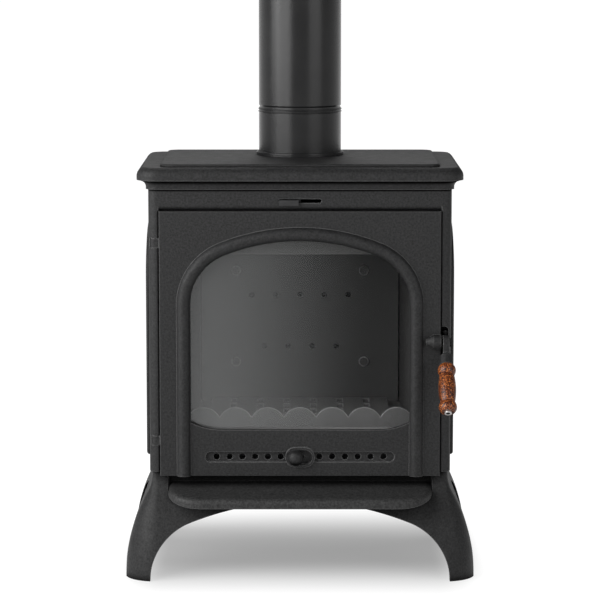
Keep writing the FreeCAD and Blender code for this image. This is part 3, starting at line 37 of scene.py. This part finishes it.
# Lamps: name, place, what it is aimed at, size and power in watts.
MIDDLE = (0.0, 0.0, 0.4)
LAMPS = (
    ("key", (-1.6, -1.45, 1.35), MIDDLE, 1.9, 69.0),
    ("fill", (1.6, -1.7, 1.3), MIDDLE, 1.6, 19.0),
    ("side", (-2.2, -0.6, 1.1), MIDDLE, 1.0, 16.0),
    ("top", (-0.1, 1.2, 2.0), (0.0, 0.0, 0.6), 1.2, 12.0),
)
WHITE = (1.0, 1.0, 1.0, 1.0)
SKY_STRENGTH = (0.6, 0.1)  # at the horizon and higher up
SKY_RISE = (0.0, 0.4)

# Floor, and the soft shade under the stove: its middle line, and where it starts and stops fading.
FLOOR_SIZE = 160.0
FLOOR_COLOUR = (0.15, 0.15, 0.15)
FLOOR_ROUGHNESS = 0.8
SHADE_BACK = 0.067
SHADE_ACROSS = (0.2, 0.3)
SHADE_DEEP = (0.06, 0.38)
SHADE_GLOW = 0.32

# Sockets of the mix node when it mixes colours.
MIX_SHARE, MIX_FIRST, MIX_SECOND, MIX_RESULT = 0, 6, 7, 2

# Noises are given as cells to the metre, detail and roughness; bumps as distance and strength.
# Masks: where the value starts and ends.
EDGE_TURN = (0.75, 0.985)
EDGE_SAMPLES = 4
HOLLOW_OPEN = (0.45, 0.8)
HOLLOW_SAMPLES = 6
DOWN_FACING = (-0.85, -0.35)

# Cast iron.
IRON_ROUGHNESS = (0.5, 0.68)
IRON_SHINE = 0.3
IRON_MOTTLE = (330.0, 4.0, 0.7)
IRON_MOTTLE_STOPS = (0.34, 0.66)
IRON_PATCHES = (60.0, 3.0)
IRON_SAND = (480.0, 3.0, 0.65)
IRON_WAVES = (40.0, 2.0)
IRON_RELIEF = 0.0006
SAND_STRENGTH = 0.5
WAVE_STRENGTH = 0.3
EDGE_ROUND = 0.0014
# Width of the painted highlight on sharp edges.
EDGE_HIGHLIGHT_WIDTH = 0.0022
GAP_REACH = 0.02
# Painted shade: its near-black colour, how far its bands fade in, and where the bands lie: a
# painted shadow line on the frame just under the top plate, and black at the back of the lip that
# fades out forward.
PAINTED_SHADE_COLOUR = (0.001, 0.001, 0.001)
PAINTED_SHADE_FADE = 0.001
BROW_SHADE = 0.004
LIP_SHADE = 0.045
LIP_DARK = 0.007

# Darkest and lightest colour of each iron, and the painted highlight on its sharp edges.
OUTER_IRON = ((0.001, 0.001, 0.0011), (0.02, 0.02, 0.0205))
OUTER_EDGE_HIGHLIGHT = (0.14, 0.14, 0.14)
OUTER_GRAIN = 1.4
# The lip's iron is a lighter copy of the body's iron: painted light on the lip.
LIP_PAINTED_LIGHT_IRON = ((0.005, 0.005, 0.005), (0.04, 0.04, 0.04))
LIP_GRAIN = 1.0
INNER_GRAIN = 0.15
LINER_IRON = ((0.034, 0.034, 0.034), (0.047, 0.047, 0.046))
FIREBACK_IRON = ((0.046, 0.046, 0.046), (0.065, 0.065, 0.064))
BOLT_IRON = ((0.045, 0.045, 0.045), (0.06, 0.06, 0.059))
BOLT_EDGE_HIGHLIGHT = (0.8, 0.8, 0.8)
ASHEN_IRON = ((0.1, 0.1, 0.1), (0.14, 0.14, 0.137))
ASHEN_EDGE_HIGHLIGHT = (0.3, 0.3, 0.3)
GUARD_IRON = ((0.064, 0.064, 0.064), (0.096, 0.096, 0.096))
GUARD_EDGE_HIGHLIGHT = (0.4, 0.4, 0.4)
GUARD_GRAIN = 0.3

# Flue paint.
FLUE_COLOUR = (0.016, 0.016, 0.017)
FLUE_STOPS = ((0.35, (0.007, 0.007, 0.0073)), (0.7, (0.013, 0.013, 0.0133)))
FLUE_BASE_ROUGHNESS = 0.5
FLUE_ROUGHNESS = (0.2, 0.27)
FLUE_PATCHES = (14.0, 4.0)
FLUE_SPECKLE = (450.0, 3.0)
FLUE_BUMP = (0.0004, 0.4)
FLUE_SHINE = 0.25

# Steels: colour and roughness.
DULL_STEEL = ((0.12, 0.12, 0.123), 0.42)
BRIGHT_STEEL = ((0.97, 0.96, 0.95), 0.38)
BLACKENED_STEEL = ((0.05, 0.05, 0.051), 0.5)
PAN_SHEET = ((0.12, 0.12, 0.125), 0.5)
STEEL_DARK_SHARE = 0.75
STEEL_STOPS = (0.3, 0.7)
STEEL_SMOOTHER, STEEL_ROUGHER = 0.08, 0.12
STEEL_PATCHES = (90.0, 3.0)
STEEL_SCRATCHES = (1500.0, 2.0)
STEEL_BUMP = (0.0001, 0.3)

# Wood of the grip.
WOOD_COLOUR = (0.3, 0.09, 0.03)
WOOD_STOPS = (
    (0.43, (0.018, 0.004, 0.002)),
    (0.54, (0.15, 0.03, 0.008)),
    (0.66, (0.62, 0.205, 0.043)),
)
WOOD_ROUGHNESS = 0.4
WOOD_FLECKS = (540.0, 3.0, 0.6)
WOOD_TONE = (70.0, 3.0)
WOOD_TONE_SHIFT = 0.08
# Reach of the painted shade in the grip's hollows.
WOOD_SHADE_REACH = 0.008
WOOD_BUMP = (0.0005, 0.3)
WOOD_SHINE = 0.3
LACQUER_WEIGHT = 0.1
LACQUER_ROUGHNESS = 0.25

# Painted reflection on the glass, a part-mirror layer that fades out towards the right: how much
# it hides at the left and where it ends, as a share of the half width.
PAINTED_REFLECTION_COLOUR = (0.27, 0.274, 0.274)
PAINTED_REFLECTION_METALLIC = 0.6
PAINTED_REFLECTION_COVER = (0.225, 0.009)
PAINTED_REFLECTION_END_SHARE = 0.7
PANE_ROUGHNESS_CLOUD = (9.0, 3.0)
PANE_BASE_ROUGHNESS = 0.1
PANE_ROUGHNESS = (0.06, 0.14)

# Seals.
ROPE_COLOUR = (0.08, 0.08, 0.08)
ROPE_STOPS = ((0.0, (0.16, 0.155, 0.15)), (0.6, (0.05, 0.05, 0.05)))
ROPE_ROUGHNESS = 0.9
ROPE_WEAVE_SCALE = 420.0
ROPE_BUMP = (0.0006, 0.6)


def new_material(name, colour, roughness, metallic=0.0):
    """Start a material with uniform values on the shader itself."""
    material = bpy.data.materials.new(name)
    material.use_nodes = True
    shader = material.node_tree.nodes["Principled BSDF"]
    shader.inputs["Base Color"].default_value = (*colour, 1.0)
    shader.inputs["Roughness"].default_value = roughness
    shader.inputs["Metallic"].default_value = metallic
    return material, shader


def add_node(material, kind, **values):
    """Add a shader node and set its named inputs."""
    node = material.node_tree.nodes.new(kind)
    for name, value in values.items():
        node.inputs[name.replace("_", " ")].default_value = value
    return node


def link(material, source, target):
    """Join two sockets of a material."""
    material.node_tree.links.new(source, target)


def place_socket(material):
    """Coordinates of the piece itself, in metres."""
    return add_node(material, "ShaderNodeTexCoord").outputs["Object"]


def surface_normal(material):
    """Normal of the surface, before any bump."""
    return add_node(material, "ShaderNodeNewGeometry").outputs["Normal"]


def split_axes(material, vector):
    """Outputs X, Y and Z of a vector."""
    axes = add_node(material, "ShaderNodeSeparateXYZ")
    link(material, vector, axes.inputs["Vector"])
    return axes.outputs


def noise(material, place, scale, detail=2.0, rough=0.5):
    """Noise of a given number of cells to the metre."""
    node = add_node(material, "ShaderNodeTexNoise", Scale=scale, Detail=detail, Roughness=rough)
    link(material, place, node.inputs["Vector"])
    return node.outputs["Fac"]


def ramp(material, source, stops):
    """Colours set along a value, as (position, colour) stops."""
    node = add_node(material, "ShaderNodeValToRGB")
    band = node.color_ramp
    while len(band.elements) < len(stops):
        band.elements.new(0.5)
    for element, (position, colour) in zip(band.elements, stops):
        element.position = position
        element.color = (*colour, 1.0)
    link(material, source, node.inputs["Fac"])
    return node.outputs["Color"]


def spread(material, source, low, high, start=0.0, end=1.0, curve="LINEAR"):
    """Map a value that runs from start to end onto a range."""
    node = add_node(material, "ShaderNodeMapRange",
                    From_Min=start, From_Max=end, To_Min=low, To_Max=high)
    node.interpolation_type = curve
    link(material, source, node.inputs["Value"])
    return node.outputs["Result"]


def maths(material, operation, first, second):
    """Value worked out from two others; the second may be a plain number."""
    node = add_node(material, "ShaderNodeMath")
    node.operation = operation
    link(material, first, node.inputs[0])
    if isinstance(second, float):
        node.inputs[1].default_value = second
    else:
        link(material, second, node.inputs[1])
    return node.outputs["Value"]


def bump(material, height, distance, strength, under=None):
    """Bump from a height, on top of another bump where one is given."""
    node = add_node(material, "ShaderNodeBump", Strength=strength, Distance=distance)
    link(material, height, node.inputs["Height"])
    if under is not None:
        link(material, under, node.inputs["Normal"])
    return node.outputs["Normal"]


def soft_edges(material, radius):
    """Normals that round the sharp edges of a casting."""
    node = add_node(material, "ShaderNodeBevel", Radius=radius)
    node.samples = EDGE_SAMPLES
    return node.outputs["Normal"]


def edge_mask(material, radius):
    """Value that rises to 1 along sharp edges."""
    turned = soft_edges(material, radius)
    facing = add_node(material, "ShaderNodeVectorMath")
    facing.operation = "DOT_PRODUCT"
    link(material, turned, facing.inputs[0])
    link(material, surface_normal(material), facing.inputs[1])
    return spread(material, facing.outputs["Value"], 1.0, 0.0, *EDGE_TURN)


def hollow_mask(material, reach):
    """Value that rises from 0 in the open to 1 in corners and gaps."""
    node = add_node(material, "ShaderNodeAmbientOcclusion", Distance=reach)
    node.samples = HOLLOW_SAMPLES
    return spread(material, node.outputs["AO"], 1.0, 0.0, *HOLLOW_OPEN)


def underside(material):
    """Value that rises to 1 on faces that look down."""
    upward = split_axes(material, surface_normal(material))["Z"]
    return spread(material, upward, 1.0, 0.0, *DOWN_FACING)


def blend(material, share, first, second):
    """Colour between a first colour and a plain second one."""
    node = add_node(material, "ShaderNodeMix")
    node.data_type = "RGBA"
    link(material, share, node.inputs[MIX_SHARE])
    link(material, first, node.inputs[MIX_FIRST])
    node.inputs[MIX_SECOND].default_value = (*second, 1.0)
    return node.outputs[MIX_RESULT]


def paint_shade(material, shader, share, colour):
    """Colour that goes to near-black painted shade by a share, and loses its shine with it."""
    shine = spread(material, share, IRON_SHINE, 0.0)
    link(material, shine, shader.inputs["Specular IOR Level"])
    return blend(material, share, colour, PAINTED_SHADE_COLOUR)


def cast_iron(name, colours, grain, edge_highlight=None, shade_band=None, shade_hollows=False):
    """Matte iron with a sand-cast skin.

    It has a painted highlight on sharp edges where a colour for it is given, black painted shade
    without shine in corners, crevices and on faces that look down where asked, and black painted
    shade past the end of a shade band, which is an axis, a start and an end.
    """
    material, shader = new_material(name, colours[0], IRON_ROUGHNESS[0])
    place = place_socket(material)
    mottled = noise(material, place, *IRON_MOTTLE)
    colour = ramp(material, mottled, list(zip(IRON_MOTTLE_STOPS, colours)))
    # Painted highlight: sharp edges turn pale.
    if edge_highlight is not None:
        colour = blend(material, edge_mask(material, EDGE_HIGHLIGHT_WIDTH), colour, edge_highlight)
    # Painted shade: corners, crevices and faces that look down turn black and lose their shine.
    if shade_hollows:
        hollow = hollow_mask(material, GAP_REACH)
        painted_shade = maths(material, "MAXIMUM", hollow, underside(material))
        colour = paint_shade(material, shader, painted_shade, colour)
    # Painted shade: past the end of a band along one axis the iron turns black.
    if shade_band is not None:
        axis, start, end = shade_band
        along = split_axes(material, place)[axis]
        band_shade = spread(material, along, 0.0, 1.0, start, end)
        colour = paint_shade(material, shader, band_shade, colour)
    link(material, colour, shader.inputs["Base Color"])
    patches = noise(material, place, *IRON_PATCHES)
    link(material, spread(material, patches, *IRON_ROUGHNESS), shader.inputs["Roughness"])
    sand = noise(material, place, *IRON_SAND)
    waves = noise(material, place, *IRON_WAVES)
    rounded = soft_edges(material, EDGE_ROUND)
    normal = bump(material, waves, IRON_RELIEF, WAVE_STRENGTH * grain, rounded)
    normal = bump(material, sand, IRON_RELIEF, SAND_STRENGTH * grain, normal)
    link(material, normal, shader.inputs["Normal"])
    shader.inputs["Specular IOR Level"].default_value = IRON_SHINE
    return material


def flue_paint():
    """Heat-proof paint on the flue, smoother than the castings."""
    material, shader = new_material("flue_paint", FLUE_COLOUR, FLUE_BASE_ROUGHNESS)
    place = place_socket(material)
    patches = noise(material, place, *FLUE_PATCHES)
    link(material, ramp(material, patches, FLUE_STOPS), shader.inputs["Base Color"])
    link(material, spread(material, patches, *FLUE_ROUGHNESS), shader.inputs["Roughness"])
    speckle = noise(material, place, *FLUE_SPECKLE)
    link(material, bump(material, speckle, *FLUE_BUMP), shader.inputs["Normal"])
    shader.inputs["Specular IOR Level"].default_value = FLUE_SHINE
    return material


def steel(name, colour, roughness):
    """Plated or painted steel with fine scratches."""
    material, shader = new_material(name, colour, roughness, 1.0)
    place = place_socket(material)
    patches = noise(material, place, *STEEL_PATCHES)
    dark = tuple(STEEL_DARK_SHARE * part for part in colour)
    stops = list(zip(STEEL_STOPS, (dark, colour)))
    link(material, ramp(material, patches, stops), shader.inputs["Base Color"])
    uneven = spread(material, patches, roughness - STEEL_SMOOTHER, roughness + STEEL_ROUGHER)
    link(material, uneven, shader.inputs["Roughness"])
    scratches = noise(material, place, *STEEL_SCRATCHES)
    link(material, bump(material, scratches, *STEEL_BUMP), shader.inputs["Normal"])
    return material


def lacquered_wood():
    """Red-brown turned wood, closely flecked, under a clear lacquer."""
    material, shader = new_material("lacquered_wood", WOOD_COLOUR, WOOD_ROUGHNESS)
    place = place_socket(material)
    flecks = noise(material, place, *WOOD_FLECKS)
    tone = noise(material, place, *WOOD_TONE)
    shift = spread(material, tone, -WOOD_TONE_SHIFT, WOOD_TONE_SHIFT)
    colour = ramp(material, maths(material, "ADD", flecks, shift), WOOD_STOPS)
    # Painted shade: hollows of the grip turn black.
    colour = blend(material, hollow_mask(material, WOOD_SHADE_REACH), colour, PAINTED_SHADE_COLOUR)
    link(material, colour, shader.inputs["Base Color"])
    link(material, bump(material, flecks, *WOOD_BUMP), shader.inputs["Normal"])
    shader.inputs["Specular IOR Level"].default_value = WOOD_SHINE
    shader.inputs["Coat Weight"].default_value = LACQUER_WEIGHT
    shader.inputs["Coat Roughness"].default_value = LACQUER_ROUGHNESS
    return material


def stove_glass():
    """Clear pane with a part-mirror layer, a painted reflection that is strongest at the left and
    fades out to the right.
    """
    material, shader = new_material("stove_glass", PAINTED_REFLECTION_COLOUR, PANE_BASE_ROUGHNESS, PAINTED_REFLECTION_METALLIC)
    place = place_socket(material)
    across = split_axes(material, place)["X"]
    low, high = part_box("door_glass")
    # Painted reflection: the layer's cover falls from the left edge to its end.
    painted_reflection = spread(material, across, *PAINTED_REFLECTION_COVER, low[0], PAINTED_REFLECTION_END_SHARE * high[0], "SMOOTHSTEP")
    link(material, painted_reflection, shader.inputs["Alpha"])
    cloud = noise(material, place, *PANE_ROUGHNESS_CLOUD)
    link(material, spread(material, cloud, *PANE_ROUGHNESS), shader.inputs["Roughness"])
    return material


def rope():
    """Woven glass-fibre seal."""
    material, shader = new_material("seal_rope", ROPE_COLOUR, ROPE_ROUGHNESS)
    weave = add_node(material, "ShaderNodeTexVoronoi", Scale=ROPE_WEAVE_SCALE)
    link(material, place_socket(material), weave.inputs["Vector"])
    strands = weave.outputs["Distance"]
    link(material, ramp(material, strands, ROPE_STOPS), shader.inputs["Base Color"])
    link(material, bump(material, strands, *ROPE_BUMP), shader.inputs["Normal"])
    return material


def dress():
    """Give every node its finish; plain black iron where none is named."""
    # Sharp edges of the irons get a painted highlight; the body iron also gets painted shade in
    # corners, crevices and on faces that look down.
    iron = cast_iron("black_cast_iron", OUTER_IRON, OUTER_GRAIN, OUTER_EDGE_HIGHLIGHT, shade_hollows=True)
    leaf = cast_iron("door_iron", OUTER_IRON, OUTER_GRAIN, OUTER_EDGE_HIGHLIGHT)
    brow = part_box("top_plate")[0][2]
    # Frame: a painted shadow line, black just under the top plate's cornice and fading out
    # downwards.
    front = cast_iron("frame_iron", OUTER_IRON, OUTER_GRAIN, OUTER_EDGE_HIGHLIGHT,
                      shade_band=("Z", brow - BROW_SHADE, brow - PAINTED_SHADE_FADE))
    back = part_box("ash_lip")[1][1]
    # Lip: painted light from its lighter iron, and painted shade, black at its back under the door
    # and fading out forward.
    lip_light_and_shade = cast_iron("lip_iron", LIP_PAINTED_LIGHT_IRON, LIP_GRAIN, OUTER_EDGE_HIGHLIGHT,
                       shade_band=("Y", back - LIP_SHADE, back - LIP_DARK))
    bolt = cast_iron("bolt_iron", BOLT_IRON, INNER_GRAIN, BOLT_EDGE_HIGHLIGHT)
    inner = cast_iron("firebox_iron", LINER_IRON, INNER_GRAIN)
    ashen = cast_iron("ashen_iron", ASHEN_IRON, INNER_GRAIN, ASHEN_EDGE_HIGHLIGHT)
    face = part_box("fireback")[0][1]
    # Fireback: painted shade; everything behind its front face, the inside of its holes too, turns
    # black.
    fireback_shaded = cast_iron("fireback_iron", FIREBACK_IRON, INNER_GRAIN,
                      shade_band=("Y", face, face + PAINTED_SHADE_FADE))
    guard = cast_iron("guard_iron", GUARD_IRON, GUARD_GRAIN, GUARD_EDGE_HIGHLIGHT)
    paint = flue_paint()
    dull = steel("dull_steel", *DULL_STEEL)
    bright = steel("bright_steel", *BRIGHT_STEEL)
    pan = steel("pan_sheet", *PAN_SHEET)
    finishes = {
        "handle_grip": lacquered_wood(),
        "door_glass": stove_glass(),
        "door_rope_seal": rope(),
        "glass_gasket": rope(),
        "grip_end_nut": bright,
        "log_guard": guard,
        "door": leaf,
        "front_frame": front,
        "ash_lip": lip_light_and_shade,
        "fireback_bolts": bolt,
        "fireback": fireback_shaded,
        "liner_left": inner,
        "liner_right": inner,
        "airwash_slide": steel("blackened_steel", *BLACKENED_STEEL),
        "ash_pan": pan,
        "ash_pan_handle": pan,
        "flue_collar": paint,
        "flue_stub": paint,
        "flue_pipe": paint,
    }
    dusty = ("baffle_plate", "grate", "grate_frame")
    fittings = ("tie_rods", "leg_bolts", "lip_bolts", "hinge_pins", "glass_clips",
                "glass_clip_screws", "air_slide", "air_slide_guides", "airwash_guides")
    finishes.update({name: ashen for name in dusty})
    finishes.update({name: dull for name in fittings})
    for name, item in nodes.items():
        item.data.materials.clear()
        item.data.materials.append(finishes.get(name, iron))


def faded(material, along, middle, reach):
    """Value that falls from 1 near a middle line to 0 at the far end of its reach."""
    offset = maths(material, "SUBTRACT", along, middle)
    distance = maths(material, "ABSOLUTE", offset, 0.0)
    return spread(material, distance, 1.0, 0.0, *reach, "SMOOTHSTEP")


def add_floor():
    """Pale floor that looks white, apart from a soft shade under the stove."""
    bpy.ops.mesh.primitive_plane_add(size=FLOOR_SIZE)
    floor = bpy.context.object
    floor.name = "studio_floor"
    material, shader = new_material("studio_floor", FLOOR_COLOUR, FLOOR_ROUGHNESS)
    axes = split_axes(material, place_socket(material))
    shade = maths(material, "MULTIPLY", faded(material, axes["X"], 0.0, SHADE_ACROSS),
                  faded(material, axes["Y"], SHADE_BACK, SHADE_DEEP))
    glow = spread(material, shade, 1.0, SHADE_GLOW)
    path = add_node(material, "ShaderNodeLightPath").outputs
    seen = maths(material, "MAXIMUM", path["Is Camera Ray"], path["Is Glossy Ray"])
    seen = maths(material, "MAXIMUM", seen, path["Is Transmission Ray"])
    shader.inputs["Emission Color"].default_value = WHITE
    link(material, maths(material, "MULTIPLY", glow, seen), shader.inputs["Emission Strength"])
    floor.data.materials.append(material)


def add_area(name, place, aim, size, power):
    """Square soft light at a place, turned to what it lights."""
    light = bpy.data.lights.new(name, "AREA")
    light.energy = power
    light.size = size
    holder = bpy.data.objects.new(name, light)
    bpy.context.collection.objects.link(holder)
    holder.location = place
    toward = Vector(aim) - Vector(place)
    holder.rotation_euler = toward.to_track_quat("-Z", "Y").to_euler()


def add_lights():
    """Soft boxes at the front corners, at the left and above, in a sky that is pale low down."""
    for lamp in LAMPS:
        add_area(*lamp)
    world = bpy.data.worlds.new("studio")
    world.use_nodes = True
    bpy.context.scene.world = world
    sky = world.node_tree.nodes["Background"]
    sky.inputs["Color"].default_value = WHITE
    direction = add_node(world, "ShaderNodeTexCoord").outputs["Generated"]
    upward = split_axes(world, direction)["Z"]
    link(world, spread(world, upward, *SKY_STRENGTH, *SKY_RISE), sky.inputs["Strength"])


def add_camera():
    """Camera at the photograph's viewing angle."""
    camera = bpy.data.cameras.new("camera")
    camera.lens = CAMERA_LENS_MM
    camera.sensor_width = SENSOR_MM
    holder = bpy.data.objects.new("camera", camera)
    bpy.context.collection.objects.link(holder)
    holder.location = (0.0, FACE_Y - CAMERA_DISTANCE, CAMERA_HEIGHT)
    holder.rotation_euler = (math.radians(LEVEL_DEG - CAMERA_DIP_DEG), 0.0, 0.0)
    bpy.context.scene.camera = holder


bpy.context.scene.view_settings.view_transform = "Standard"
dress()
add_floor()
add_lights()
add_camera()
